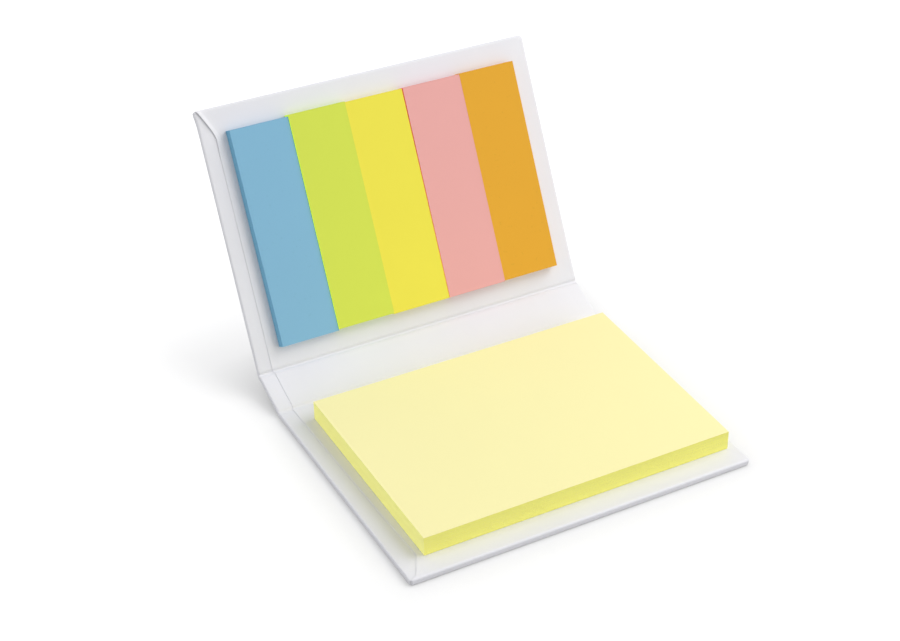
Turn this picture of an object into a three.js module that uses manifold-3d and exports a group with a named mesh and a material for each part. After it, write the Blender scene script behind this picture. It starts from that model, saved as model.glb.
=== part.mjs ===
// A small book-style hard cover lying open, with a note pad on its back cover and five slim marker
// pads side by side on its front cover. Millimetres. +X runs along the folds, +Y from the near edge
// of the back cover towards the spine, +Z up. The origin is the middle of the back cover's underside.
import * as THREE from 'three';
import { mergeVertices } from 'three/addons/utils/BufferGeometryUtils.js';
import Module from 'manifold-3d';

const wasm = await Module();
wasm.setup();

// The note pad, and the cover left bare round it
const PAD_WIDTH = 76;
const PAD_DEPTH = 51;
const PAD_THICKNESS = 4.8;
const PAD_LEFT_MARGIN = 6;
const PAD_RIGHT_MARGIN = 2.5;
const PAD_NEAR_MARGIN = 5.4;
const PAD_FAR_MARGIN = 5.6; // to the lower crease

// The marker pads, from left to right, and the cover left bare round them. The strips are cut a
// little unevenly, and a pad's rise is how far it was stuck above or below the row's line.
const MARKER_HEIGHT = 50;
const BLUE_WIDTH = 14.5;
const BLUE_THICKNESS = 2.0;
const GREEN_WIDTH = 14.1;
const GREEN_THICKNESS = 2.25;
const YELLOW_WIDTH = 14.6;
const YELLOW_THICKNESS = 2.25;
const PINK_WIDTH = 14.9;
const PINK_THICKNESS = 2.35;
const ORANGE_WIDTH = 14.4;
const ORANGE_THICKNESS = 2.35;
const MARKER_GAP = 0.1; // between neighbours
const MARKER_LEFT_MARGIN = 6;
const MARKER_RIGHT_MARGIN = 2.5; // at least
const MARKER_FOOT_MARGIN = 5.6; // to the upper crease
const MARKER_HEAD_MARGIN = 5.6;
const MARKERS = [
  { name: 'marker_blue', colour: 0x82b5d1, width: BLUE_WIDTH, thickness: BLUE_THICKNESS, rise: -0.1 },
  { name: 'marker_green', colour: 0xd4e35a, width: GREEN_WIDTH, thickness: GREEN_THICKNESS, rise: 0.2 },
  { name: 'marker_yellow', colour: 0xf0e650, width: YELLOW_WIDTH, thickness: YELLOW_THICKNESS, rise: 0 },
  { name: 'marker_pink', colour: 0xeeaeaa, width: PINK_WIDTH, thickness: PINK_THICKNESS, rise: -0.15 },
  { name: 'marker_orange', colour: 0xe6a837, width: ORANGE_WIDTH, thickness: ORANGE_THICKNESS, rise: 0.2 },
];

// What the case is made of
const BOARD_THICKNESS = 0.8;
const WRAP_THICKNESS = 0.16;
const LINING_THICKNESS = 0.12;
const GLUE_LINE = 0.05; // between two layers, and under the pads
const TURN_IN = 12; // the wrap's flaps over the inner face
const LINING_SIDE_INSET = 3.4; // from the cover's side to the lining's
const LINING_END_INSET = 0.4; // from a free edge to the lining's end, just past the edge's rounding
const LINING_TIP_INSET = 0.7; // from the cover's side where the lining widens out to a corner
const LINING_CORNER_RUN = 7; // how far from a free edge the lining starts to widen
const EDGE_RADIUS = 0.3; // where the wrap goes round a board's edge
const EDGE_STEPS = 4;
const MITRE_GAP = 0.16; // seam where two flaps meet at a corner
const HINGE_GAP = 0.3; // left clear along a crease between two panels
const CLOSED_CLEARANCE = 1.6; // between the note pad and the thickest marker pad when closed

// How the case stands open, both measured up from flat
const SPINE_TILT = 19.5;
const FRONT_LEAN = 59.6;
const CLOSED_TURN = 90; // what one crease turns from flat to closed

// Levels above a panel's crease line, which runs at the middle of the wrap's thickness
const wrapUnder = -WRAP_THICKNESS / 2;
const wrapTop = WRAP_THICKNESS / 2;
const boardUnder = wrapTop + GLUE_LINE;
const boardTop = boardUnder + BOARD_THICKNESS;
const flapUnder = boardTop + GLUE_LINE;
const flapTop = flapUnder + WRAP_THICKNESS;
const liningUnder = flapTop + GLUE_LINE;
const liningTop = liningUnder + LINING_THICKNESS;
const padUnder = liningTop + GLUE_LINE;

// The case is as large as what it holds, with the margins
const rowWidth = (markers) => markers.reduce((sum, marker) => sum + marker.width + MARKER_GAP, 0);
const markerRow = rowWidth(MARKERS) - MARKER_GAP;
const coverWidth = Math.max(
  PAD_LEFT_MARGIN + PAD_WIDTH + PAD_RIGHT_MARGIN,
  MARKER_LEFT_MARGIN + markerRow + MARKER_RIGHT_MARGIN,
);
const halfWidth = coverWidth / 2;
const backDepth = PAD_NEAR_MARGIN + PAD_DEPTH + PAD_FAR_MARGIN;
const frontDepth = MARKER_FOOT_MARGIN + MARKER_HEIGHT + MARKER_HEAD_MARGIN;
const thickestMarker = Math.max(...MARKERS.map((marker) => marker.thickness));
const spineWidth = 2 * padUnder + PAD_THICKNESS + thickestMarker + CLOSED_CLEARANCE;

// Each panel keeps behind a plane that leans away from the crease, so that two panels can close
const leanAway = THREE.MathUtils.degToRad(CLOSED_TURN / 2);
const lipEnd = HINGE_GAP / 2;
const liningSlant = LINING_THICKNESS / Math.cos(leanAway);
const faceSetback = (level) => level * Math.tan(leanAway) + lipEnd;
const boardSetback = faceSetback(flapTop) + liningSlant + GLUE_LINE;

const wallAndGlue = WRAP_THICKNESS + GLUE_LINE;
const CUT = 1; // how far a cutting block passes the face that it cuts

function toSolid(geometry) {
  const bare = geometry.clone();
  bare.deleteAttribute('normal');
  bare.deleteAttribute('uv');
  const merged = mergeVertices(bare, 1e-5);
  const vertProperties = new Float32Array(merged.attributes.position.array);
  const triVerts = new Uint32Array(merged.index.array);
  return new wasm.Manifold(new wasm.Mesh({ numProp: 3, vertProperties, triVerts }));
}

function toGeometry(solid) {
  const mesh = solid.getMesh();
  const geometry = new THREE.BufferGeometry();
  geometry.setAttribute('position', new THREE.BufferAttribute(mesh.vertProperties, 3));
  geometry.setIndex(new THREE.BufferAttribute(mesh.triVerts, 1));
  const flat = geometry.toNonIndexed();
  flat.computeVertexNormals();
  return flat;
}

function block(low, high) {
  const size = high.map((value, axis) => value - low[axis]);
  const box = new THREE.BoxGeometry(...size);
  return box.translate(...low.map((value, axis) => value + size[axis] / 2));
}

// A closed outline of [y, z] points, pushed along X
function alongX(points, from, to) {
  const shape = new THREE.Shape(points.map(([y, z]) => new THREE.Vector2(y, z)));
  const bar = new THREE.ExtrudeGeometry(shape, { depth: to - from, bevelEnabled: false });
  bar.applyMatrix4(new THREE.Matrix4().makeBasis(
    new THREE.Vector3(0, 1, 0),
    new THREE.Vector3(0, 0, 1),
    new THREE.Vector3(1, 0, 0),
  ));
  return bar.translate(from, 0, 0);
}

// A closed outline of [x, z] points, pushed along Y
function alongY(points, from, to) {
  const shape = new THREE.Shape(points.map(([x, z]) => new THREE.Vector2(x, z)));
  const bar = new THREE.ExtrudeGeometry(shape, { depth: to - from, bevelEnabled: false });
  return bar.rotateX(Math.PI / 2).translate(0, to, 0);
}

// A rectangle whose corners are rounded on the ends that are free edges
function roundedOutline(from, to, low, high, radius, roundFrom, roundTo) {
  const points = [];
  const corner = (across, up, start, round) => {
    if (!round || radius <= 0) {
      points.push([across < 0 ? from : to, up < 0 ? low : high]);
      return;
    }
    const centreAcross = (across < 0 ? from : to) - across * radius;
    const centreUp = (up < 0 ? low : high) - up * radius;
    for (let step = 0; step <= EDGE_STEPS; step += 1) {
      const angle = start + (Math.PI / 2) * (step / EDGE_STEPS);
      points.push([centreAcross + radius * Math.cos(angle), centreUp + radius * Math.sin(angle)]);
    }
  };
  corner(-1, -1, Math.PI, roundFrom);
  corner(1, -1, -Math.PI / 2, roundTo);
  corner(1, 1, 0, roundTo);
  corner(-1, 1, Math.PI / 2, roundFrom);
  return points;
}

// One panel of the case lies flat between from and to along Y, with its crease line at level 0
function panelEnds(from, to, fromIsCrease, toIsCrease) {
  return { from, to, fromIsCrease, toIsCrease };
}

// Where something that stops short of a crease and of a free edge by different lengths lies
function within(ends, atCrease, atEdge) {
  return [
    ends.from + (ends.fromIsCrease ? atCrease : atEdge),
    ends.to - (ends.toIsCrease ? atCrease : atEdge),
  ];
}

// The panel's whole block less a skin all round: round at free edges, square at creases
function slab(ends, skin, atCrease) {
  const radius = Math.max(EDGE_RADIUS - skin, 0);
  const side = halfWidth - skin;
  const [near, far] = within(ends, atCrease, skin);
  const [low, high] = [wrapUnder + skin, flapTop - skin];
  const across = roundedOutline(-side, side, low, high, radius, true, true);
  const along = roundedOutline(near, far, low, high, radius, !ends.fromIsCrease, !ends.toIsCrease);
  return toSolid(alongY(across, near, far)).intersect(toSolid(alongX(along, -side, side)));
}

function boardGeometry(ends) {
  return toGeometry(slab(ends, wallAndGlue, boardSetback));
}

// The seam where two flaps meet runs from the window's corner out to the cover's corner
function mitreSeam(xSign, edge, inward) {
  const reach = TURN_IN - EDGE_RADIUS;
  const slot = new THREE.BoxGeometry(reach * Math.SQRT2, MITRE_GAP, WRAP_THICKNESS + GLUE_LINE);
  slot.rotateZ(-xSign * inward * (Math.PI / 4));
  const middle = EDGE_RADIUS + reach / 2;
  slot.translate(xSign * (halfWidth - middle), edge + inward * middle, flapTop - WRAP_THICKNESS / 2);
  return toSolid(slot);
}

function wrapGeometry(ends) {
  let wrap = slab(ends, 0, lipEnd).subtract(slab(ends, WRAP_THICKNESS, -CUT));
  const [near, far] = within(ends, -CUT, TURN_IN);
  const windowSide = halfWidth - TURN_IN;
  const window = block([-windowSide, near, flapUnder - GLUE_LINE / 2], [windowSide, far, flapTop + CUT]);
  wrap = wrap.subtract(toSolid(window));
  const outside = halfWidth + CUT;
  for (const [isCrease, crease, inward] of [
    [ends.fromIsCrease, ends.from, 1],
    [ends.toIsCrease, ends.to, -1],
  ]) {
    if (isCrease) {
      const low = Math.min(crease - inward * CUT, crease + inward * boardSetback);
      const high = Math.max(crease - inward * CUT, crease + inward * boardSetback);
      wrap = wrap.subtract(toSolid(block([-outside, low, wrapTop], [outside, high, flapTop + CUT])));
    } else {
      wrap = wrap.subtract(mitreSeam(-1, crease, inward)).subtract(mitreSeam(1, crease, inward));
    }
  }
  return toGeometry(wrap);
}

// The lining seen from above is as wide as its sides' inset leaves it, and widens out to the corners
function liningPlan(ends) {
  const side = halfWidth - LINING_SIDE_INSET;
  const tip = halfWidth - LINING_TIP_INSET;
  const right = [];
  const finish = (isCrease, edge, inward) => {
    const points = isCrease
      ? [[side, edge]]
      : [[tip, edge + inward * LINING_END_INSET], [side, edge + inward * LINING_CORNER_RUN]];
    right.push(...(inward > 0 ? points : points.reverse()));
  };
  finish(ends.fromIsCrease, ends.from, 1);
  finish(ends.toIsCrease, ends.to, -1);
  const left = right.map(([x, y]) => [-x, y]).reverse();
  const shape = new THREE.Shape([...right, ...left].map(([x, y]) => new THREE.Vector2(x, y)));
  return toSolid(new THREE.ExtrudeGeometry(shape, { depth: liningTop + CUT, bevelEnabled: false }));
}

// The lining lies flat on the flaps and slants down into each crease
function liningGeometry(ends) {
  const foot = boardUnder;
  const upper = [];
  const under = [];
  const finish = (isCrease, edge, inward) => {
    if (!isCrease) {
      upper.push([edge + inward * LINING_END_INSET, liningTop]);
      under.push([edge + inward * LINING_END_INSET, liningUnder]);
      return;
    }
    const slant = [
      [edge + inward * faceSetback(liningTop), liningTop],
      [edge + inward * faceSetback(foot), foot],
    ];
    const slantUnder = [
      [edge + inward * (faceSetback(liningUnder) + liningSlant), liningUnder],
      [edge + inward * (faceSetback(foot) + liningSlant), foot],
    ];
    upper.push(...(inward > 0 ? slant.reverse() : slant));
    under.push(...(inward > 0 ? slantUnder.reverse() : slantUnder));
  };
  finish(ends.fromIsCrease, ends.from, 1);
  finish(ends.toIsCrease, ends.to, -1);
  const sheet = toSolid(alongX([...under, ...upper.reverse()], -halfWidth, halfWidth));
  return toGeometry(sheet.intersect(liningPlan(ends)));
}

const greyboard = new THREE.MeshStandardMaterial({ color: 0x9b958a, roughness: 0.9, metalness: 0 });
const coverPaper = new THREE.MeshStandardMaterial({ color: 0xeef0f2, roughness: 0.3, metalness: 0 });
const liningPaper = new THREE.MeshStandardMaterial({ color: 0xe9ebee, roughness: 0.5, metalness: 0 });
const notePaper = new THREE.MeshStandardMaterial({ color: 0xfdf5b7, roughness: 0.85, metalness: 0 });

function named(name, geometry, material) {
  const mesh = new THREE.Mesh(geometry, material);
  mesh.name = name;
  return mesh;
}

// The three layers that every panel of the case has
function panel(name, ends) {
  const group = new THREE.Group();
  group.add(named(`${name}_board`, boardGeometry(ends), greyboard));
  group.add(named(`${name}_wrap`, wrapGeometry(ends), coverPaper));
  group.add(named(`${name}_lining`, liningGeometry(ends), liningPaper));
  return group;
}

function notePad() {
  const low = [PAD_LEFT_MARGIN - halfWidth, PAD_NEAR_MARGIN - backDepth / 2, padUnder];
  const high = [low[0] + PAD_WIDTH, low[1] + PAD_DEPTH, padUnder + PAD_THICKNESS];
  return named('note_pad', block(low, high), notePaper);
}

function markerPad(marker, place) {
  const left = MARKER_LEFT_MARGIN - halfWidth + rowWidth(MARKERS.slice(0, place));
  const foot = MARKER_FOOT_MARGIN + marker.rise;
  const low = [left, foot, padUnder];
  const high = [left + marker.width, foot + MARKER_HEIGHT, padUnder + marker.thickness];
  const paper = new THREE.MeshStandardMaterial({ color: marker.colour, roughness: 0.85, metalness: 0 });
  return named(marker.name, block(low, high), paper);
}

const backCover = panel('back', panelEnds(-backDepth / 2, backDepth / 2, false, true));
backCover.position.z = WRAP_THICKNESS / 2;
backCover.add(notePad());

const spine = panel('spine', panelEnds(0, spineWidth, true, true));
spine.position.y = backDepth / 2;
spine.rotation.x = THREE.MathUtils.degToRad(SPINE_TILT);
backCover.add(spine);

const frontCover = panel('front', panelEnds(0, frontDepth, true, false));
frontCover.position.y = spineWidth;
frontCover.rotation.x = THREE.MathUtils.degToRad(FRONT_LEAN - SPINE_TILT);
MARKERS.forEach((marker, place) => frontCover.add(markerPad(marker, place)));
spine.add(frontCover);

const stickyNotes = new THREE.Group();
stickyNotes.add(backCover);

export default stickyNotes;
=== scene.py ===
# %% [markdown]
# # Sticky notes in a hard cover
# A small book-style case stands open. A thick pad of pale yellow notes is glued to its back cover,
# and five slim marker pads, blue, green, yellow, pink and orange, are glued side by side to its front
# cover. Two soft creases on either side of a narrow spine let the case close over the pads.
#
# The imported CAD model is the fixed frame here. It sets every size, and it keeps the three grey boards
# inside the case. What the eye sees is the paper, and paper is thin, bends round edges and is cut by a
# blade, so each paper piece is made again below with that in mind.

import math

import bmesh
import bpy
import numpy as np
from mathutils import Matrix, Vector


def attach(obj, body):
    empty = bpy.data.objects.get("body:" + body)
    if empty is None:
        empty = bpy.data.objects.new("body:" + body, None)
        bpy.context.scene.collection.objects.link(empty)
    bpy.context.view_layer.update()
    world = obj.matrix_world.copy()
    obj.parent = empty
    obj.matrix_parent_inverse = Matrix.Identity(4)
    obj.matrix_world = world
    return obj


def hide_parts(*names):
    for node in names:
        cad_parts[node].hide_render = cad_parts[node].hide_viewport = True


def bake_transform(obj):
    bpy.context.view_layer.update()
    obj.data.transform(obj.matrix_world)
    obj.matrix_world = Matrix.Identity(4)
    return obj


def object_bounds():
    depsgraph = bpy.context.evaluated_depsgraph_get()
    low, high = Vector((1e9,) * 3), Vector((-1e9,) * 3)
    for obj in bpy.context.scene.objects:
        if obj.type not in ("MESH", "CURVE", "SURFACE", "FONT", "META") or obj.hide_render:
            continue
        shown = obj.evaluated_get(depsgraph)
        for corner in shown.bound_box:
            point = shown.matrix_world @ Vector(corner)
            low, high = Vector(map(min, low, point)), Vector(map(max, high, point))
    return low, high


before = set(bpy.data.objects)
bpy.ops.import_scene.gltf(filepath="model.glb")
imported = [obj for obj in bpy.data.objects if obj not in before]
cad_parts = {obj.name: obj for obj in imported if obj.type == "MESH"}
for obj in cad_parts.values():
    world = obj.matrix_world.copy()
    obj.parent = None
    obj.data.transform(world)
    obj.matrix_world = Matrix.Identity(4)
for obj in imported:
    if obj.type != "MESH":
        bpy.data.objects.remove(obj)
cad_low, cad_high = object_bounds()
print("CAD box in mm", [round(1000 * v, 2) for v in (*cad_low, *cad_high)])

# %% [markdown]
# ## Sizes
# All lengths are in millimetres and become metres at the last moment. The case is thought of as lying
# flat: `along` runs from the back cover's near edge, over the spine, to the front cover's far edge, and
# `level` is the height above the middle of the wrapping paper, which is the line the case bends about.

# %% Sizes
MM = 0.001

HALF_WIDTH = 42.25
BACK_DEPTH = 62.0
SPINE_WIDTH = 11.47
FRONT_DEPTH = 61.2
FLAT_LENGTH = BACK_DEPTH + SPINE_WIDTH + FRONT_DEPTH
LOWER_CREASE = BACK_DEPTH
UPPER_CREASE = BACK_DEPTH + SPINE_WIDTH
SPINE_MIDDLE = (LOWER_CREASE + UPPER_CREASE) / 2

SPINE_TILT = 19.5
FRONT_LEAN = 59.6
BEND_REACH = 1.4     # how far from a crease's line the paper starts to bend

WRAP_THICKNESS = 0.16
WRAP_UNDER = -WRAP_THICKNESS / 2
FLAP_TOP = 1.19
FLAP_AT_CREASE = 1.0
TURN_IN = 12.0
EDGE_ROUNDING = 0.3
ROUNDING_SHARE = 0.45      # an edge's rounding takes no more than this share of the slab's height

LINING_THICKNESS = 0.1
LINING_TOP = 1.31
LINING_AT_CREASE = 1.12
LINING_END_RADIUS = 0.5
LINING_END_OVERHANG = 0.12
LINING_END_LEVEL = 0.02

GROOVE_FLOOR = 0.25        # half of the width of a groove's floor
GROOVE_HALF_WIDTH = 1.05   # half of its width at the top

CORNER_RADIUS = 0.6        # of the case's corners as seen from above
TIP_LENGTH = 5.0           # the part of the front's top left corner that stands open a little
TIP_WIDTH = 2.5
TIP_SPREAD = 0.4           # how far it stands out to the side
TIP_LIFT = 0.15            # and how far it is thicker there

PAD_LEVEL = 1.36           # of the pads' undersides, just above the lining

# %% [markdown]
# ## From the flat case to the open one
# The real cover was made flat and then folded up, so every sheet here is made flat too and bent
# afterwards. Near a crease the turn grows smoothly over a few millimetres, as it does in paper that is
# held by a board on either side.

# %% Bending


def smooth_share(value):
    """0 before 0, 1 after 1, and a smooth rise between."""
    value = min(max(value, 0.0), 1.0)
    return value * value * (3 - 2 * value)


def turned_about(crease, angle, along, level):
    """Turns a point of the flat case about a crease by its share of the crease's angle."""
    share = smooth_share((along - crease + BEND_REACH) / (2 * BEND_REACH))
    turn = math.radians(angle) * share
    away = along - crease
    return (
        crease + away * math.cos(turn) - level * math.sin(turn),
        away * math.sin(turn) + level * math.cos(turn),
    )


def bent(point):
    """Where a point (across, along, level) of the flat case, in mm, is when the case stands open."""
    across, along, level = point
    share_low = smooth_share((along - LOWER_CREASE + BEND_REACH) / (2 * BEND_REACH))
    along, level = turned_about(UPPER_CREASE, FRONT_LEAN - SPINE_TILT, along, level)
    turn = math.radians(SPINE_TILT) * share_low
    away = along - LOWER_CREASE
    y = away * math.cos(turn) - level * math.sin(turn) + LOWER_CREASE
    z = away * math.sin(turn) + level * math.cos(turn)
    return Vector((across, y - BACK_DEPTH / 2, z + WRAP_THICKNESS / 2)) * MM


def crease_point(crease):
    return bent((0.0, crease, 0.0))


print("lower crease at", [round(1000 * v, 3) for v in crease_point(LOWER_CREASE)])
print("upper crease at", [round(1000 * v, 3) for v in crease_point(UPPER_CREASE)])

# %% [markdown]
# A sheet dips into a shallow groove at each crease, because there is no board under it there. The
# groove's two sides come face to face when the case closes.

# %% Levels and helpers
ROUNDING_PLACES = (0.0, 0.268, 0.577, 1.0)   # the tangents of 0, 15, 30 and 45 degrees
SAME_PLACE = 1e-7                            # points closer than this are one point, in metres
SHARP_ANGLE = 30                             # edges sharper than this stay sharp


def dipped(along, at_crease, elsewhere):
    """The level of a sheet that lies at one height, but dips into both creases."""
    nearest = min(abs(along - LOWER_CREASE), abs(along - UPPER_CREASE))
    share = smooth_share((nearest - GROOVE_FLOOR) / (GROOVE_HALF_WIDTH - GROOVE_FLOOR))
    return at_crease + (elsewhere - at_crease) * share


def steps(start, stop, count):
    return [start + (stop - start) * n / count for n in range(count)]


def rounding_offsets(radius):
    """Distances from a sharp edge that become evenly spaced points once the edge is rounded."""
    return [radius * share for share in ROUNDING_PLACES]


def mesh_object(name, points, faces):
    mesh = bpy.data.meshes.new(name)
    mesh.from_pydata([Vector(p) for p in points], [], faces)
    mesh.validate()
    made = bpy.data.objects.new(name, mesh)
    bpy.context.scene.collection.objects.link(made)
    return made


def outward_and_smooth(made):
    """Turns all faces outward, rounds the look of all but the sharp edges, and counts the open edges."""
    shape = bmesh.new()
    shape.from_mesh(made.data)
    bmesh.ops.remove_doubles(shape, verts=shape.verts, dist=SAME_PLACE)
    bmesh.ops.recalc_face_normals(shape, faces=shape.faces)
    open_edges = sum(1 for edge in shape.edges if not edge.is_manifold)
    shape.to_mesh(made.data)
    shape.free()
    made.data.shade_smooth()
    made.data.set_sharp_from_angle(angle=math.radians(SHARP_ANGLE))
    return open_edges


def with_modifiers_applied(made):
    graph = bpy.context.evaluated_depsgraph_get()
    flat = bpy.data.meshes.new_from_object(made.evaluated_get(graph))
    made.modifiers.clear()
    old = made.data
    made.data = flat
    bpy.data.meshes.remove(old)
    return made


def corner_rounded(point):
    """Rounds the case's four corners as seen from above."""
    across, along, level = point
    from_end = min(along, FLAT_LENGTH - along)
    past_side = abs(across) - (HALF_WIDTH - CORNER_RADIUS)
    past_end = CORNER_RADIUS - from_end
    if past_side <= 0 or past_end <= 0:
        return point
    shrink = max(past_side, past_end) / math.hypot(past_side, past_end)
    across = math.copysign(HALF_WIDTH - CORNER_RADIUS + past_side * shrink, across)
    from_end = CORNER_RADIUS - past_end * shrink
    return Vector((across, from_end if along < FLAT_LENGTH / 2 else FLAT_LENGTH - from_end, level))


def tip_lifted(point):
    """Spreads the folded paper at the front cover's top left corner, which isn't pressed flat."""
    across, along, level = point
    from_end = max(FLAT_LENGTH - along, 0.0)
    from_side = across + HALF_WIDTH
    if from_end > TIP_LENGTH or from_side > TIP_WIDTH:
        return point
    share = (1 - from_end / TIP_LENGTH) ** 2 * (1 - from_side / TIP_WIDTH)
    return Vector((across - TIP_SPREAD * share, along, level + TIP_LIFT * share * smooth_share(level)))


def bend_mesh(made):
    """Moves a flat mesh, whose points are in mm, to where it is on the open case, in metres."""
    for vertex in made.data.vertices:
        vertex.co = bent(tip_lifted(corner_rounded(vertex.co)))
    made.data.update()


# %% [markdown]
# ## Cover paper
# One sheet of coated white paper wraps the three boards. It is glued to their outside, goes round each
# edge and is turned in over the inside as a flap. Its edges are never sharp: paper round a board's edge
# keeps a small radius. The sheet is built as the rounded skin of the whole case with a window where the
# flaps end, and then given its thickness inward. It is made in two pieces that meet in the middle of
# the spine, each of which crosses one crease, so that each can bend with that crease.

# %% Build the cover paper
CREASE_STEPS = 44
CREASE_SPAN = 2.2          # the sheets have small faces this far to either side of a crease
FLAP_STEPS = 11            # steps along the case, over a flap, a panel and half the spine
PANEL_STEPS = 12
SPINE_STEPS = 3
NEXT_TO_EDGE = (0.6, 1.2)  # places across the case, from its side
FLAP_FROM = 2              # where the even steps across a flap begin
FLAP_STEPS_ACROSS = 10
WINDOW_STEPS_ACROSS = 5


def places_across():
    edge = [-HALF_WIDTH + offset for offset in rounding_offsets(EDGE_ROUNDING)]
    edge += [-HALF_WIDTH + place for place in NEXT_TO_EDGE]
    flap = steps(-HALF_WIDTH + FLAP_FROM, -HALF_WIDTH + TURN_IN, FLAP_STEPS_ACROSS)
    middle = steps(-HALF_WIDTH + TURN_IN, 0, WINDOW_STEPS_ACROSS)
    left = edge + flap + middle
    return left + [0.0] + [-value for value in reversed(left)]


def places_from_free_edge(crease_distance, end_distance, first):
    """Distances from a panel's free edge to the middle of the spine, close together at the crease."""
    before = crease_distance - CREASE_SPAN
    after = crease_distance + CREASE_SPAN
    return (
        first
        + steps(1.0, TURN_IN, FLAP_STEPS)
        + steps(TURN_IN, before, PANEL_STEPS)
        + steps(before, after, CREASE_STEPS)
        + steps(after, end_distance, SPINE_STEPS)
        + [end_distance]
    )


def rounded_point(across, distance, level, low, high):
    """Moves a point of a sharp-edged slab onto the same slab with rounded edges."""
    radius = min(EDGE_ROUNDING, ROUNDING_SHARE * (high - low))
    inner = Vector((
        min(max(across, -HALF_WIDTH + radius), HALF_WIDTH - radius),
        max(distance, radius),
        min(max(level, low + radius), high - radius),
    ))
    out = Vector((across, distance, level)) - inner
    if out.length > 1e-9:
        return inner + out * (radius / out.length)
    return inner


def cover_paper(name, free_edge, direction, crease_distance):
    """The wrapping paper from one free edge of the case to the middle of the spine."""
    across = places_across()
    end = abs(SPINE_MIDDLE - free_edge)
    distances = places_from_free_edge(crease_distance, end, rounding_offsets(EDGE_ROUNDING))
    points = []
    faces = []
    index = {}

    def corner(i, j, k):
        """The number of the grid's point, made when it is first asked for."""
        if (i, j, k) not in index:
            along = free_edge + direction * distances[j]
            high = dipped(along, FLAP_AT_CREASE, FLAP_TOP)
            offsets = rounding_offsets(min(EDGE_ROUNDING, ROUNDING_SHARE * (high - WRAP_UNDER)))
            levels = [WRAP_UNDER + o for o in offsets] + [high - o for o in reversed(offsets)]
            place = rounded_point(across[i], distances[j], levels[k], WRAP_UNDER, high)
            index[(i, j, k)] = len(points)
            points.append((place.x, free_edge + direction * place.y, place.z))
        return index[(i, j, k)]

    def square(*corners):
        faces.append([corner(*place) for place in corners])

    far, end_row = len(across) - 1, len(distances) - 1
    top = 2 * len(rounding_offsets(EDGE_ROUNDING)) - 1
    for i in range(far):
        for j in range(end_row):
            square((i, j, 0), (i, j + 1, 0), (i + 1, j + 1, 0), (i + 1, j, 0))
            middle_across = (across[i] + across[i + 1]) / 2
            middle_distance = (distances[j] + distances[j + 1]) / 2
            if abs(middle_across) > HALF_WIDTH - TURN_IN or middle_distance < TURN_IN:
                square((i, j, top), (i + 1, j, top), (i + 1, j + 1, top), (i, j + 1, top))
    for k in range(top):
        for j in range(end_row):
            square((0, j, k), (0, j, k + 1), (0, j + 1, k + 1), (0, j + 1, k))
            square((far, j, k), (far, j + 1, k), (far, j + 1, k + 1), (far, j, k + 1))
        for i in range(far):
            square((i, 0, k), (i + 1, 0, k), (i + 1, 0, k + 1), (i, 0, k + 1))
    if direction < 0:
        faces = [list(reversed(face)) for face in faces]
    made = mesh_object(name, points, faces)
    thickness = made.modifiers.new("paper", "SOLIDIFY")
    thickness.thickness = WRAP_THICKNESS
    thickness.offset = -1.0
    thickness.use_even_offset = True
    with_modifiers_applied(made)
    bend_mesh(made)
    left_open = outward_and_smooth(made)
    print(name, len(made.data.polygons), "faces,", left_open, "open edges")
    return made


cover_back = cover_paper("cover_paper_back", 0.0, 1, LOWER_CREASE)
cover_front = cover_paper("cover_paper_front", FLAT_LENGTH, -1, FLAT_LENGTH - UPPER_CREASE)

# %% [markdown]
# ## Lining sheet
# A white inner sheet covers the flaps. It stops a few millimetres short of the case's sides, so that
# a strip of the flap shows beside it, and it reaches the near and the far edge. At the corners its side
# widens out in a slanting line to the tip. The two corners on the left aren't pressed down quite flat:
# the upper one stands up by a quarter of a millimetre, which draws the dark line beside the flap. It is
# a closed plate, thin as paper, in two pieces for the two creases.

# %% Build the lining sheet
# How far in from the case's side the sheet's side lies, at distances from the free edge
BACK_LEFT_INSETS = ((0.0, 0.5), (1.1, 2.0), (6.4, 4.9), (20.0, 4.3), (61.4, 3.3), (62.6, 3.65), (67.8, 3.65))
BACK_RIGHT_INSETS = ((0.0, 0.6), (7.0, 3.4), (67.8, 3.4))
FRONT_LEFT_INSETS = (
    (0.0, 0.57), (2.3, 1.6), (4.0, 2.4), (5.7, 3.2), (7.2, 3.5), (10.3, 3.35), (60.6, 3.35),
    (61.8, 3.65), (67.0, 3.65),
)
FRONT_RIGHT_INSETS = ((0.0, 0.6), (7.0, 3.4), (67.0, 3.4))

BACK_LEFT_LIFT = (0.04, 8.0)     # how far the corner lifts, and over what length it settles
FRONT_LEFT_LIFT = (0.28, 13.0)
LIFT_WIDTH = 1.1                 # how far in from the sheet's side it is lifted
LIFT_KEEPS_OFF = 1.5             # distance from a crease up to which it lies flat

FROM_SIDE = (0.0, 0.15, 0.35, 0.6, 0.85, 1.1, 2.0, 5.0, 10.0, 18.0, 28.0)
AFTER_ROUND_END = (0.45, 0.7)


def inset_at(insets, distance):
    return float(np.interp(distance, [pair[0] for pair in insets], [pair[1] for pair in insets]))


def round_free_edge():
    """Outer and inner (distance, level) pairs of the sheet where it goes round the free edge."""
    centre = LINING_END_RADIUS - LINING_END_OVERHANG
    centre_level = LINING_TOP - LINING_END_RADIUS
    inner_radius = LINING_END_RADIUS - LINING_THICKNESS
    outer_foot = (-LINING_END_OVERHANG, LINING_END_LEVEL)
    inner_foot = (LINING_THICKNESS - LINING_END_OVERHANG, LINING_END_LEVEL)
    pairs = [(outer_foot, inner_foot)]
    for angle in range(90, 0, -15):
        across, up = math.sin(math.radians(angle)), math.cos(math.radians(angle))
        pairs.append((
            (centre - LINING_END_RADIUS * across, centre_level + LINING_END_RADIUS * up),
            (centre - inner_radius * across, centre_level + inner_radius * up),
        ))
    return pairs


def corner_lift(from_side, distance, lift):
    """How far the sheet stands up off the flap near its left corner."""
    height, length = lift
    height *= 1 - smooth_share(distance / length)
    return height * (1 - smooth_share(from_side / LIFT_WIDTH))


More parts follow.
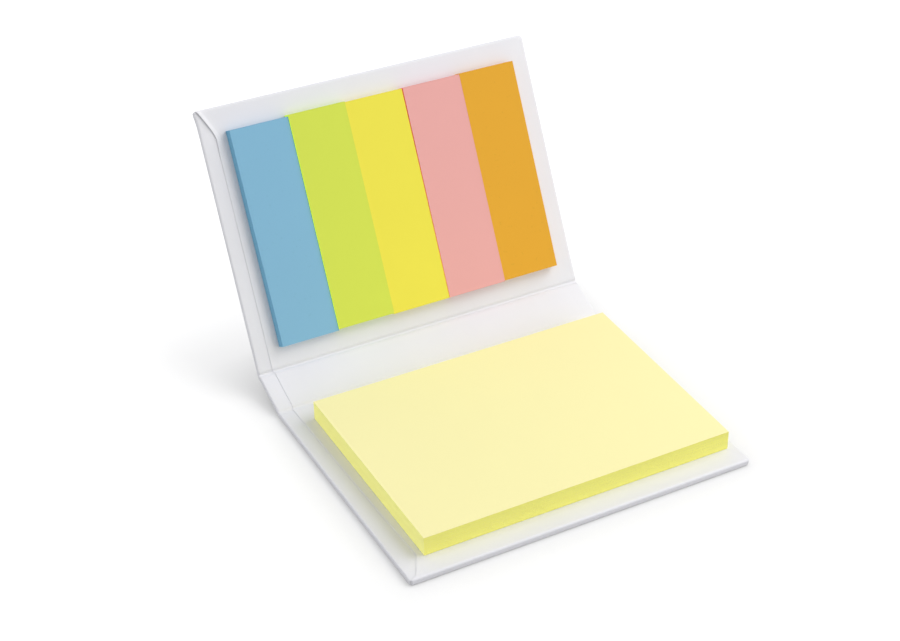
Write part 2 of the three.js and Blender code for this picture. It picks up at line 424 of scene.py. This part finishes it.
def plate_faces(width, row_count):
    """The faces of a closed plate from rows of points, all of its top first and then its underside."""
    count = width * row_count
    faces = []
    for j in range(row_count - 1):
        for i in range(width - 1):
            a, b = j * width + i, j * width + i + 1
            c, d = (j + 1) * width + i + 1, (j + 1) * width + i
            faces.append([a, b, c, d])
            faces.append([count + d, count + c, count + b, count + a])
    border = (
        list(range(width))
        + [j * width + width - 1 for j in range(1, row_count)]
        + [(row_count - 1) * width + i for i in range(width - 2, -1, -1)]
        + [j * width for j in range(row_count - 2, 0, -1)]
    )
    for here, after in zip(border, border[1:] + border[:1]):
        faces.append([here, count + here, count + after, after])
    return faces


def lining_sheet(name, free_edge, direction, crease_distance, left_insets, right_insets, left_lift):
    """The inner sheet from one free edge of the case to the middle of the spine."""
    end = abs(SPINE_MIDDLE - free_edge)
    rows = [(*outer, *inner) for outer, inner in round_free_edge()]
    for distance in places_from_free_edge(crease_distance, end, list(AFTER_ROUND_END)):
        high = dipped(free_edge + direction * distance, LINING_AT_CREASE, LINING_TOP)
        rows.append((distance, high, distance, high - LINING_THICKNESS))
    top, under = [], []
    for distance, high, distance_under, low in rows:
        left = -HALF_WIDTH + inset_at(left_insets, distance)
        right = HALF_WIDTH - inset_at(right_insets, distance)
        off_crease = smooth_share((abs(distance - crease_distance) - LIFT_KEEPS_OFF) / LIFT_KEEPS_OFF)
        row = [left + step for step in FROM_SIDE] + [0.0] + [right - step for step in reversed(FROM_SIDE)]
        for place in row:
            lift = corner_lift(place - left, distance, left_lift) * off_crease
            top.append((place, free_edge + direction * distance, high + lift))
            under.append((place, free_edge + direction * distance_under, low + lift))
    made = mesh_object(name, top + under, plate_faces(2 * len(FROM_SIDE) + 1, len(rows)))
    bend_mesh(made)
    left_open = outward_and_smooth(made)
    print(name, len(made.data.polygons), "faces,", left_open, "open edges")
    return made


lining_back = lining_sheet(
    "lining_sheet_back", 0.0, 1, LOWER_CREASE, BACK_LEFT_INSETS, BACK_RIGHT_INSETS, BACK_LEFT_LIFT
)
lining_front = lining_sheet(
    "lining_sheet_front", FLAT_LENGTH, -1, FLAT_LENGTH - UPPER_CREASE,
    FRONT_LEFT_INSETS, FRONT_RIGHT_INSETS, FRONT_LEFT_LIFT,
)

# %% [markdown]
# ## Stacked sheets
# A pad is a stack of thin sheets held by a strip of glue, and cut to size all at once. The cut is
# nearly even, but each sheet is off by a few hundredths of a millimetre, and that is what gives a pad's
# side its fine grain. One geometry tree makes every pad: a column of points, one thin block on each
# point, a small random shift and a small turn about the foot of the pad, where it is glued.

# %% Geometry tree for a pad
SHEET_PITCH = 0.096
SHEET_FILL = 0.97          # the share of the pitch that the paper takes up
PAD_INPUTS = (
    ("Sheets", "NodeSocketInt"),
    ("Width", "NodeSocketFloat"),
    ("Depth", "NodeSocketFloat"),
    ("Height", "NodeSocketFloat"),
    ("Shift", "NodeSocketFloat"),
    ("Fan", "NodeSocketFloat"),
    ("Seed", "NodeSocketInt"),
    ("Paper", "NodeSocketMaterial"),
)


def sheet_stack_tree():
    """The node tree of a pad, with its inputs by name."""
    tree = bpy.data.node_groups.new("sheet_stack", "GeometryNodeTree")
    face = tree.interface
    face.new_socket("Geometry", in_out="OUTPUT", socket_type="NodeSocketGeometry")
    for label, kind in PAD_INPUTS:
        face.new_socket(label, in_out="INPUT", socket_type=kind)

    def node(kind, inputs=(), **settings):
        made = tree.nodes.new(kind)
        for key, value in settings.items():
            setattr(made, key, value)
        for key, value in dict(inputs).items():
            if isinstance(value, bpy.types.NodeSocket):
                tree.links.new(value, made.inputs[key])
            else:
                made.inputs[key].default_value = value
        return made

    def maths(operation, first, second):
        return node("ShaderNodeMath", {0: first, 1: second}, operation=operation).outputs[0]

    given = node("NodeGroupInput").outputs
    pitch = maths("DIVIDE", given["Height"], given["Sheets"])
    first_place = node("ShaderNodeCombineXYZ", {"Z": maths("MULTIPLY", pitch, 0.5)}).outputs[0]
    next_place = node("ShaderNodeCombineXYZ", {"Z": pitch}).outputs[0]
    column = node(
        "GeometryNodeMeshLine",
        {"Count": given["Sheets"], "Start Location": first_place, "Offset": next_place},
    ).outputs["Mesh"]

    size = node(
        "ShaderNodeCombineXYZ",
        {"X": given["Width"], "Y": given["Depth"], "Z": maths("MULTIPLY", pitch, SHEET_FILL)},
    ).outputs[0]
    block = node("GeometryNodeMeshCube", {"Size": size}).outputs["Mesh"]
    foot_first = node("ShaderNodeCombineXYZ", {"Y": maths("MULTIPLY", given["Depth"], 0.5)}).outputs[0]
    block = node("GeometryNodeTransform", {"Geometry": block, "Translation": foot_first}).outputs[0]
    facing = node("ShaderNodeSeparateXYZ", {0: node("GeometryNodeInputNormal").outputs["Normal"]}).outputs
    steep = node("ShaderNodeMath", {0: facing["Z"]}, operation="ABSOLUTE").outputs[0]
    is_cut = maths("LESS_THAN", steep, 0.5)
    # left-facing cut sides are marked for the painted light that the finish puts on them
    painted_light_side = maths("LESS_THAN", facing["X"], -0.5)
    block = node(
        "GeometryNodeStoreNamedAttribute",
        {"Geometry": block, "Name": "cut_side_and_painted_light", "Value": maths("ADD", is_cut, painted_light_side)},
        data_type="FLOAT",
        domain="FACE",
    ).outputs[0]

    def random(low, high, seed_step):
        """A number for each sheet. The node's inputs 2 and 3, and its output 1, are the ones for numbers."""
        seed = maths("ADD", given["Seed"], float(seed_step))
        return node("FunctionNodeRandomValue", {2: low, 3: high, "Seed": seed}, data_type="FLOAT").outputs[1]

    sheet_tone = random(0.0, 1.0, 1)
    column = node(
        "GeometryNodeStoreNamedAttribute",
        {"Geometry": column, "Name": "sheet_tone", "Value": sheet_tone},
        data_type="FLOAT",
        domain="POINT",
    ).outputs[0]
    side_step = maths("MULTIPLY", random(-1.0, 1.0, 2), given["Shift"])
    long_step = maths("MULTIPLY", random(-1.0, 1.0, 3), given["Shift"])
    offset = node("ShaderNodeCombineXYZ", {"X": side_step, "Y": long_step}).outputs[0]
    column = node("GeometryNodeSetPosition", {"Geometry": column, "Offset": offset}).outputs[0]
    turn = maths("MULTIPLY", random(-1.0, 1.0, 4), given["Fan"])
    turned = node("ShaderNodeCombineXYZ", {"Z": turn}).outputs[0]
    stack = node(
        "GeometryNodeInstanceOnPoints", {"Points": column, "Instance": block, "Rotation": turned}
    ).outputs[0]
    stack = node("GeometryNodeRealizeInstances", {"Geometry": stack}).outputs[0]
    stack = node("GeometryNodeSetMaterial", {"Geometry": stack, "Material": given["Paper"]}).outputs[0]
    output = tree.nodes.new("NodeGroupOutput")
    tree.links.new(stack, output.inputs[0])
    return tree


SHEET_STACK = sheet_stack_tree()
print("sheet stack tree has", len(SHEET_STACK.nodes), "nodes")

# %% [markdown]
# ## Papers and boards as finishes
# The finishes are written as sums. A small class holds a number that flows through a material, so that
# `base + 0.1 * noise` reads as it would on paper, and the node for it is made behind the scenes.

# %% Writing finishes as sums


class Value:
    """A number that flows through a material."""

    def __init__(self, finish, socket):
        self.finish = finish
        self.socket = socket

    def __add__(self, other):
        return self.finish.maths("ADD", self, other)

    def __radd__(self, other):
        return self.finish.maths("ADD", other, self)

    def __sub__(self, other):
        return self.finish.maths("SUBTRACT", self, other)

    def __rsub__(self, other):
        return self.finish.maths("SUBTRACT", other, self)

    def __mul__(self, other):
        return self.finish.maths("MULTIPLY", self, other)

    def __rmul__(self, other):
        return self.finish.maths("MULTIPLY", other, self)

    def __truediv__(self, other):
        return self.finish.maths("DIVIDE", self, other)

    def __rtruediv__(self, other):
        return self.finish.maths("DIVIDE", other, self)

    def __pow__(self, other):
        return self.finish.maths("POWER", self, other)

    def __rpow__(self, other):
        return self.finish.maths("POWER", other, self)

    def __neg__(self):
        return self.finish.maths("MULTIPLY", self, -1.0)

    def between(self, low, high):
        """0 below low, 1 above high, smooth between."""
        return self.finish.node(
            "ShaderNodeMapRange",
            {"interpolation_type": "SMOOTHSTEP"},
            {"Value": self, "From Min": low, "From Max": high},
        )


class Finish:
    """A material that is being made, with the surface's own shader at its end."""

    def __init__(self, name):
        self.material = bpy.data.materials.new(name)
        self.material.use_nodes = True
        self.tree = self.material.node_tree
        self.tree.nodes.clear()
        self.surface = self.tree.nodes.new("ShaderNodeBsdfPrincipled")
        output = self.tree.nodes.new("ShaderNodeOutputMaterial")
        self.tree.links.new(self.surface.outputs[0], output.inputs["Surface"])

    def put(self, socket, value):
        """Sets an input to a constant, or links it to what flows into it."""
        if isinstance(value, Value):
            self.tree.links.new(value.socket, socket)
        elif isinstance(value, tuple) and len(value) == 3 and socket.type == "RGBA":
            socket.default_value = (*value, 1.0)
        else:
            socket.default_value = value

    def node(self, kind, settings=None, inputs=None, output=0):
        made = self.tree.nodes.new(kind)
        for key, value in (settings or {}).items():
            setattr(made, key, value)
        for key, value in (inputs or {}).items():
            self.put(made.inputs[key], value)
        return Value(self, made.outputs[output])

    def maths(self, operation, *terms):
        return self.node("ShaderNodeMath", {"operation": operation}, dict(enumerate(terms)))

    def place(self):
        """The point's place in the part's frame, in metres."""
        return self.node("ShaderNodeTexCoord", output="Object")

    def stretched(self, place, scale):
        return self.node("ShaderNodeMapping", {}, {"Vector": place, "Scale": scale})

    def noise(self, place, scale, detail=2.0, roughness=0.5):
        given = {"Vector": place, "Scale": scale, "Detail": detail, "Roughness": roughness}
        return self.node("ShaderNodeTexNoise", {}, given)

    def attribute(self, name):
        return self.node("ShaderNodeAttribute", {"attribute_name": name}, output="Fac")

    def mixed(self, share, first, second):
        """A colour between the first, at share 0, and the second, at share 1."""
        mixer = self.tree.nodes.new("ShaderNodeMix")
        mixer.data_type = "RGBA"
        self.put(mixer.inputs[0], share)
        self.put(mixer.inputs[6], first)
        self.put(mixer.inputs[7], second)
        return Value(self, mixer.outputs[2])

    def bump(self, height, distance, strength=1.0):
        given = {"Height": height, "Distance": distance, "Strength": strength}
        return self.node("ShaderNodeBump", {}, given, output="Normal")

    def done(self, **inputs):
        for key, value in inputs.items():
            self.put(self.surface.inputs[key.replace("_", " ")], value)
        return self.material


def linear(red, green, blue):
    """A colour as the eye reads it, 0 to 255, as the amounts of light that a shader takes."""
    def channel(value):
        share = value / 255
        return share / 12.92 if share <= 0.04045 else ((share + 0.055) / 1.055) ** 2.4
    return (channel(red), channel(green), channel(blue))


def shaded(colour, factor):
    return tuple(channel * factor for channel in colour)


# %% [markdown]
# Cover paper and lining are bright white papers. Cover paper has a thin coating, so it is smoother and
# has a slight sheen; lining paper is plain and a touch rougher. Under a close look both have a cloudy
# tone, where the fibres lie closer, and a very fine grain in the surface.

# %% White papers


def white_paper(name, colour, roughness, coat, grain):
    finish = Finish(name)
    place = finish.place()
    cloud = finish.noise(place, 55.0, 3.0, 0.55)
    fine = finish.noise(place, 2600.0, 2.0, 0.6)
    tone = cloud.between(0.3, 0.7) * 0.6 + fine * 0.4
    base = finish.mixed(tone, shaded(colour, 0.965), colour)
    rough = roughness + 0.08 * (cloud - 0.5)
    return finish.done(
        Base_Color=base,
        Roughness=rough,
        Coat_Weight=coat,
        Coat_Roughness=0.35,
        Normal=finish.bump(fine, grain * MM),
    )


COVER_PAPER = white_paper("cover_paper", linear(236, 236, 241), 0.45, 0.08, 0.005)
LINING_PAPER = white_paper("lining_paper", linear(237, 237, 242), 0.55, 0.0, 0.006)

# %% [markdown]
# The boards are grey recycled board: a brown-grey with darker and lighter fibres pressed into it. They
# are all but hidden by the paper round them.

# %% Grey board


def grey_board():
    finish = Finish("greyboard")
    place = finish.place()
    fibres = finish.noise(finish.stretched(place, (1.0, 0.35, 1.0)), 2400.0, 3.0, 0.65)
    cloud = finish.noise(place, 160.0, 2.0, 0.5)
    tone = fibres.between(0.35, 0.65) * 0.7 + cloud * 0.3
    base = finish.mixed(tone, linear(132, 126, 116), linear(172, 166, 155))
    return finish.done(Base_Color=base, Roughness=0.92, Normal=finish.bump(fibres, 0.03 * MM))


BOARDS = ("back_board", "spine_board", "front_board")
GREY_BOARD = grey_board()
for node_name in BOARDS:
    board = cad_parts[node_name]
    board.data.materials.clear()
    board.data.materials.append(GREY_BOARD)
print("boards kept from the CAD model:", len(BOARDS))

# %% [markdown]
# Note papers are dyed through, so a sheet's face has the dye's colour, and the pad's cut sides look
# deeper, because light goes in between the sheets and comes out with more of the dye's colour. Each
# sheet's cut edge has a tone of its own, which draws fine streaks along the sides. The left cut side
# gets painted light: a lighter colour of its own, and on some pads a glow. The faces carry a few
# fibres and specks.

# %% Dyed papers


NO_PAINTED_GLOW = (0.0, 0.0, 0.0)
FEW_SPECKS = 0.02


def dyed_paper(name, face_colour, side_colour, left_painted_light_colour, specks=FEW_SPECKS, painted_edge_glow=NO_PAINTED_GLOW):
    """The finish of a pad from the colours of its faces, its cut sides and the painted light on its cut left
    side.
    """
    finish = Finish(name)
    place = finish.place()
    fine = finish.noise(place, 2200.0, 3.0, 0.6)
    cloud = finish.noise(place, 70.0, 2.0, 0.5)
    fibres = finish.noise(finish.stretched(place, (1.0, 0.25, 0.4)), 3800.0, 1.0, 0.5)
    fleck = finish.noise(place, 1500.0, 0.0, 0.5).between(0.74, 0.82)
    tone = 0.5 * cloud + 0.3 * fine + 0.2 * fibres
    face = finish.mixed(tone, shaded(face_colour, 0.98), shaded(face_colour, 1.015))
    face = finish.mixed(fleck * specks, face, shaded(face_colour, 0.6))
    sheet = finish.attribute("sheet_tone")
    cut = finish.attribute("cut_side_and_painted_light")
    streak = 0.7 * sheet + 0.3 * fine
    side = finish.mixed(streak, shaded(side_colour, 0.97), shaded(side_colour, 1.03))
    # painted light: the left cut side has a lighter colour of its own
    left = finish.mixed(streak, shaded(left_painted_light_colour, 0.96), shaded(left_painted_light_colour, 1.0))
    painted_light_share = (cut - 1.0).between(0.0, 1.0)
    side = finish.mixed(painted_light_share, side, left)
    base = finish.mixed(cut.between(0.0, 1.0), face, side)
    # painted light: a glow on the left cut side
    glow = finish.mixed(painted_light_share, NO_PAINTED_GLOW, painted_edge_glow)
    return finish.done(
        Base_Color=base,
        Roughness=0.85,
        Specular_IOR_Level=0.3,
        Emission_Color=glow,
        Emission_Strength=1.0,
        Normal=finish.bump(fine, 0.008 * MM),
    )


# %% [markdown]
# ## The pads
# The note pad lies on the back cover with its long side along the spine. The five marker pads stand in
# a row on the front cover, almost touching; they differ a little in width, in thickness and in how far
# up they were stuck. The pink pad's sheets are fanned a little, so that its side shows more at the top.
# Each pad is grown by the geometry tree, turned into a plain mesh and carried to its cover.

# %% Build the pads
# Each pad's third colour, and its glow where it has one, are painted light on its left cut side.
PAPERS = {
    "note_pad": dyed_paper(
        "note_paper",
        linear(254, 247, 184), linear(255, 252, 134), linear(255, 255, 160), painted_edge_glow=(0.07, 0.06, 0.01),
    ),
    "marker_blue": dyed_paper(
        "marker_blue_paper",
        linear(135, 188, 218), linear(112, 168, 203), linear(118, 176, 206), specks=0.1,
    ),
    "marker_green": dyed_paper(
        "marker_green_paper",
        linear(216, 230, 86), linear(205, 236, 50), linear(224, 255, 60), painted_edge_glow=(0.32, 0.5, 0.03),
    ),
    "marker_yellow": dyed_paper(
        "marker_yellow_paper",
        linear(243, 232, 80), linear(240, 226, 50), linear(250, 240, 70),
    ),
    "marker_pink": dyed_paper(
        "marker_pink_paper",
        linear(238, 174, 170), linear(232, 150, 140), linear(255, 96, 60), painted_edge_glow=(0.17, 0.02, 0.01),
    ),
    "marker_orange": dyed_paper(
        "marker_orange_paper",
        linear(232, 171, 50), linear(228, 160, 46), linear(255, 205, 110), specks=0.12,
    ),
}

# How far a sheet is shifted in mm, and turned in radians, at most, and where each pad's draws start
SHEET_SHIFT = 0.015
NOTE_FAN = 0.0002
MARKER_FAN = 0.0004
NOTE_SEED = 11
FIRST_MARKER_SEED = 21


def grown_pad(name, width, depth, height, shift, fan, seed):
    """A pad as a plain mesh in its own flat frame, its foot at the origin, in metres."""
    empty_mesh = bpy.data.meshes.new(name)
    carrier = bpy.data.objects.new(name, empty_mesh)
    bpy.context.scene.collection.objects.link(carrier)
    stack = carrier.modifiers.new("sheets", "NODES")
    stack.node_group = SHEET_STACK
    given = {
        "Sheets": round(height / SHEET_PITCH),
        "Width": width * MM,
        "Depth": depth * MM,
        "Height": height * MM,
        "Shift": shift * MM,
        "Fan": fan,
        "Seed": seed,
        "Paper": PAPERS[name],
    }
    for item in SHEET_STACK.interface.items_tree:
        if item.in_out == "INPUT":
            stack[item.identifier] = given[item.name]
    graph = bpy.context.evaluated_depsgraph_get()
    plain = bpy.data.meshes.new_from_object(carrier.evaluated_get(graph))
    carrier.modifiers.clear()
    carrier.data = plain
    bpy.data.meshes.remove(empty_mesh)
    return carrier


def trimmed(pad, depth, height, lean=0.0, foot_in=0.0, left_slant=0.0, turn=0.0):
    """Shears and turns a pad a little in its own frame, as real stacks are, in mm and radians."""
    for vertex in pad.data.vertices:
        up = vertex.co.z / (height * MM)
        along = vertex.co.y / (depth * MM)
        shift = lean * (up - 0.5)
        if vertex.co.x < 0:
            shift += left_slant * up + foot_in * (1 - along)
        vertex.co.x += shift * MM + turn * vertex.co.y


def carried(pad, crease, angle, left, width, foot):
    """Moves a pad's points from its own frame to its place on a cover that leans by an angle."""
    middle = Matrix.Translation(Vector((left + width / 2, foot, PAD_LEVEL)) * MM)
    lean = Matrix.Rotation(math.radians(angle), 4, "X")
    pad.data.transform(Matrix.Translation(crease) @ lean @ middle)
    pad.data.shade_flat()
    print(pad.name, len(pad.data.polygons), "faces")


PAD_WIDTH, PAD_DEPTH, PAD_HEIGHT = 76.0, 51.0, 4.8
LEFT_MARGIN = 6.0
PAD_LEFT = -HALF_WIDTH + LEFT_MARGIN
PAD_NEAR_MARGIN = 5.25
PAD_LEAN = -0.22            # how far its top is further left than its foot
back_middle = bent((0.0, BACK_DEPTH / 2, 0.0))
front_foot = crease_point(UPPER_CREASE)

note_pad = grown_pad("note_pad", PAD_WIDTH, PAD_DEPTH, PAD_HEIGHT, SHEET_SHIFT, NOTE_FAN, NOTE_SEED)
trimmed(note_pad, PAD_DEPTH, PAD_HEIGHT, lean=PAD_LEAN)
carried(note_pad, back_middle, 0.0, PAD_LEFT, PAD_WIDTH, PAD_NEAR_MARGIN - BACK_DEPTH / 2)

MARKER_LEFT = -HALF_WIDTH + LEFT_MARGIN
MARKER_GAP = 0.1
MARKER_SPREAD = 0.08        # the cut sheets spread until neighbours almost touch
MARKER_HEIGHT = 50.0
MARKER_FOOT = 5.6
MARKERS = (
    {"name": "marker_blue", "width": 14.5, "thickness": 2.0, "rise": -0.1, "foot_in": 0.25,
     "left_slant": 0.2},
    {"name": "marker_green", "width": 14.1, "thickness": 2.25, "rise": 0.2},
    {"name": "marker_yellow", "width": 14.6, "thickness": 2.25, "rise": 0.0},
    {"name": "marker_pink", "width": 14.9, "thickness": 2.35, "rise": 0.05, "fan": 0.001, "turn": 0.0042},
    {"name": "marker_orange", "width": 14.45, "thickness": 2.35, "rise": 0.2, "turn": 0.0042},
)

marker_pads = []
next_left = MARKER_LEFT
for number, marker in enumerate(MARKERS):
    pad = grown_pad(
        marker["name"],
        marker["width"] + MARKER_SPREAD,
        MARKER_HEIGHT,
        marker["thickness"],
        SHEET_SHIFT,
        marker.get("fan", MARKER_FAN),
        FIRST_MARKER_SEED + number,
    )
    uneven = {key: marker[key] for key in ("foot_in", "left_slant", "turn") if key in marker}
    trimmed(pad, MARKER_HEIGHT, marker["thickness"], **uneven)
    carried(pad, front_foot, FRONT_LEAN, next_left, marker["width"], MARKER_FOOT + marker["rise"])
    next_left += marker["width"] + MARKER_GAP
    marker_pads.append(pad)

# %% [markdown]
# ## What moves with what
# The note pad rides on the back cover and the marker pads on the front cover. Each paper piece of the
# case is listed with the two bodies on either side of its crease.

# %% Finishes and bodies


def across_crease(crease, angle_before, angle_after):
    """The points before and after a crease between which the paper turns."""
    def step(angle):
        return Vector((0.0, math.cos(math.radians(angle)), math.sin(math.radians(angle))))
    middle = crease_point(crease)
    reach = BEND_REACH * MM
    return middle - step(angle_before) * reach, middle + step(angle_after) * reach


LOWER_SPAN = across_crease(LOWER_CREASE, 0.0, SPINE_TILT)
UPPER_SPAN = across_crease(UPPER_CREASE, SPINE_TILT, FRONT_LEAN)

LOWER_SIDES = ("back_cover", "spine")
UPPER_SIDES = ("spine", "front_cover")
SHEETS = (
    (cover_back, COVER_PAPER, "cover_paper", LOWER_SIDES, LOWER_SPAN, ("back_wrap", "spine_wrap")),
    (cover_front, COVER_PAPER, "cover_paper", UPPER_SIDES, UPPER_SPAN, ("spine_wrap", "front_wrap")),
    (lining_back, LINING_PAPER, "lining_paper", LOWER_SIDES, LOWER_SPAN, ("back_lining", "spine_lining")),
    (lining_front, LINING_PAPER, "lining_paper", UPPER_SIDES, UPPER_SPAN, ("spine_lining", "front_lining")),
)
for piece, material, slot_name, bodies, span, nodes in SHEETS:
    piece.data.materials.clear()
    piece.data.materials.append(material)
    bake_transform(piece)
    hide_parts(*nodes)

note_pad.name = "note_pad_sheets"
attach(note_pad, "back_cover")
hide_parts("note_pad")
for pad, marker in zip(marker_pads, MARKERS):
    pad.name = marker["name"] + "_sheets"
    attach(pad, "front_cover")
    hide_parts(marker["name"])

# %% [markdown]
# ## Floor, background and light
# The object stands on a plain white sweep. Away from the object the floor is lit to full white, as in
# the photo. Near it the floor glows less, and least right at the object's edges: the lamps' soft shadow
# stays there, and the lower glow also paints shade round the case. The bright room round the object
# fills the shadows.

# %% Floor and background
FLOOR_HALF_SIZE = 3.0
FLOOR_BELOW = 0.0002               # in metres
FLOOR_GLOW = 0.78
# painted shade: the floor's glow is lower near the case
FLOOR_GLOW_NEAR = 0.35             # the glow's share at the case's edge is midway between this and 1
FLOOR_WHITENS = 0.055              # the glow is whole this far from the case, in metres
# painted contact shade on the floor, next to the case:
CONTACT_REACH = 0.015              # how far the case darkens the floor next to it, in metres
CONTACT_SHADE = 0.6
FOOTPRINT_NEAR = -31.0 * MM
FOOTPRINT_FAR = 42.0 * MM
ROOM_LIGHT = 0.49
ROOM_COLOUR = (0.985, 0.99, 1.0)
WHITE = (1.0, 1.0, 1.0)


def outside_footprint(finish):
    """How far in metres a point of the floor lies from the ground that the case covers."""
    across, along = (
        finish.node("ShaderNodeSeparateXYZ", {}, {0: finish.place()}, output=axis) for axis in ("X", "Y")
    )
    middle = (FOOTPRINT_NEAR + FOOTPRINT_FAR) / 2
    half_depth = (FOOTPRINT_FAR - FOOTPRINT_NEAR) / 2
    beside = finish.maths("MAXIMUM", finish.maths("ABSOLUTE", across) - HALF_WIDTH * MM, 0.0)
    before = finish.maths("MAXIMUM", finish.maths("ABSOLUTE", along - middle) - half_depth, 0.0)
    return (beside * beside + before * before) ** 0.5


def floor_finish():
    finish = Finish("studio_floor")
    speckle = finish.noise(finish.place(), 400.0, 1.0, 0.5)
    base = finish.mixed(speckle, linear(176, 176, 177), linear(179, 179, 179))
    seen = finish.node("ShaderNodeLightPath", output="Is Camera Ray")
    reach = {"Distance": CONTACT_REACH}
    # painted contact shade: the glow is cut where the case hides the floor from the room
    open_air = finish.node("ShaderNodeAmbientOcclusion", {"samples": 8}, reach, output="AO")
    away = outside_footprint(finish)
    # painted shade round the case: less glow near its footprint, and less again where it is occluded
    share = FLOOR_GLOW_NEAR + (1.0 - FLOOR_GLOW_NEAR) * (away / FLOOR_WHITENS).between(-1.0, 1.0)
    share = share * (1.0 - CONTACT_SHADE * (1.0 - open_air))
    glow = finish.mixed(seen * share, (0.0, 0.0, 0.0), WHITE)
    return finish.done(Base_Color=base, Roughness=0.9, Emission_Color=glow, Emission_Strength=FLOOR_GLOW)


def studio_floor():
    size = FLOOR_HALF_SIZE
    low = cad_low.z - FLOOR_BELOW
    made = mesh_object(
        "studio_floor",
        [(-size, -size, low), (size, -size, low), (size, size, low), (-size, size, low)],
        [[0, 1, 2, 3]],
    )
    made.data.materials.append(floor_finish())
    return made


def bright_room():
    """A room that is white to the eye and in reflections, and softer as a light."""
    world = bpy.data.worlds.new("bright_room")
    world.use_nodes = True
    tree = world.node_tree
    tree.nodes.clear()
    path = tree.nodes.new("ShaderNodeLightPath").outputs
    seen = path["Is Camera Ray"]
    for ray in ("Is Glossy Ray", "Is Transmission Ray"):
        either = tree.nodes.new("ShaderNodeMath")
        either.operation = "MAXIMUM"
        tree.links.new(seen, either.inputs[0])
        tree.links.new(path[ray], either.inputs[1])
        seen = either.outputs[0]
    chosen = tree.nodes.new("ShaderNodeMixShader")
    tree.links.new(seen, chosen.inputs[0])
    for number, (colour, strength) in enumerate(((ROOM_COLOUR, ROOM_LIGHT), (WHITE, 1.0)), start=1):
        part = tree.nodes.new("ShaderNodeBackground")
        part.inputs["Color"].default_value = (*colour, 1.0)
        part.inputs["Strength"].default_value = strength
        tree.links.new(part.outputs[0], chosen.inputs[number])
    whole = tree.nodes.new("ShaderNodeOutputWorld")
    tree.links.new(chosen.outputs[0], whole.inputs["Surface"])
    return world


studio_floor()
bpy.context.scene.world = bright_room()
print("room light", ROOM_LIGHT)

# %% [markdown]
# The lamps are square soft boxes. The main one is above and to the right, and weaker ones in front, on
# the left and behind light what it leaves dark.

# %% Lamps
LOOK_AT = (0.0, 0.02, 0.02)
LAMPS = (
    # name, place in metres, size, power in watts, colour
    ("main_lamp", (0.5, -0.1, 0.6), 0.6, 3.65, (1.0, 0.99, 0.98)),
    ("front_lamp", (0.6, -0.72, 0.32), 0.6, 1.95, WHITE),
    ("left_lamp", (-0.9, 0.1, 0.12), 0.5, 2.7, WHITE),
    ("back_lamp", (0.0, 0.9, 0.45), 0.6, 0.8, WHITE),
)


def soft_box(name, place, size, power, colour):
    """A square lamp that faces the case."""
    lamp = bpy.data.lights.new(name, "AREA")
    lamp.shape = "SQUARE"
    lamp.size = size
    lamp.energy = power
    lamp.color = colour
    holder = bpy.data.objects.new(name, lamp)
    bpy.context.scene.collection.objects.link(holder)
    holder.location = place
    toward = Vector(LOOK_AT) - Vector(place)
    holder.rotation_mode = "QUATERNION"
    holder.rotation_quaternion = toward.to_track_quat("-Z", "Y")


for lamp in LAMPS:
    soft_box(*lamp)
print("lamps:", len(LAMPS))

# %% [markdown]
# ## Camera
# The camera stands in front on the left and looks down on the case. Its place, lens and slight roll
# were worked out from the corners of the covers and pads.

# %% Camera
CAMERA_PLACE = Vector((-186.358, -289.499, 274.962)) * MM
CAMERA_TARGET = Vector((-4.077, 21.884, 20.0)) * MM
CAMERA_ROLL = 1.961
CAMERA_LENS = 79.41
SENSOR_WIDTH = 36.0
NEAREST, FARTHEST = 0.01, 20.0     # what the camera sees lies between these distances, in metres


def camera_at(place, target, roll):
    camera_data = bpy.data.cameras.new("camera")
    camera_data.lens = CAMERA_LENS
    camera_data.sensor_width = SENSOR_WIDTH
    camera_data.sensor_fit = "HORIZONTAL"
    camera_data.clip_start = NEAREST
    camera_data.clip_end = FARTHEST
    made = bpy.data.objects.new("camera", camera_data)
    bpy.context.scene.collection.objects.link(made)
    forward = (target - place).normalized()
    level_right = forward.cross(Vector((0.0, 0.0, 1.0))).normalized()
    level_up = level_right.cross(forward)
    angle = math.radians(roll)
    right = math.cos(angle) * level_right + math.sin(angle) * level_up
    up = -math.sin(angle) * level_right + math.cos(angle) * level_up
    turn = Matrix((right, up, -forward)).transposed().to_4x4()
    made.matrix_world = Matrix.Translation(place) @ turn
    return made


scene = bpy.context.scene
scene.camera = camera_at(CAMERA_PLACE, CAMERA_TARGET, CAMERA_ROLL)
scene.view_settings.view_transform = "Standard"
print("camera distance in mm", round((CAMERA_PLACE - CAMERA_TARGET).length / MM, 1))
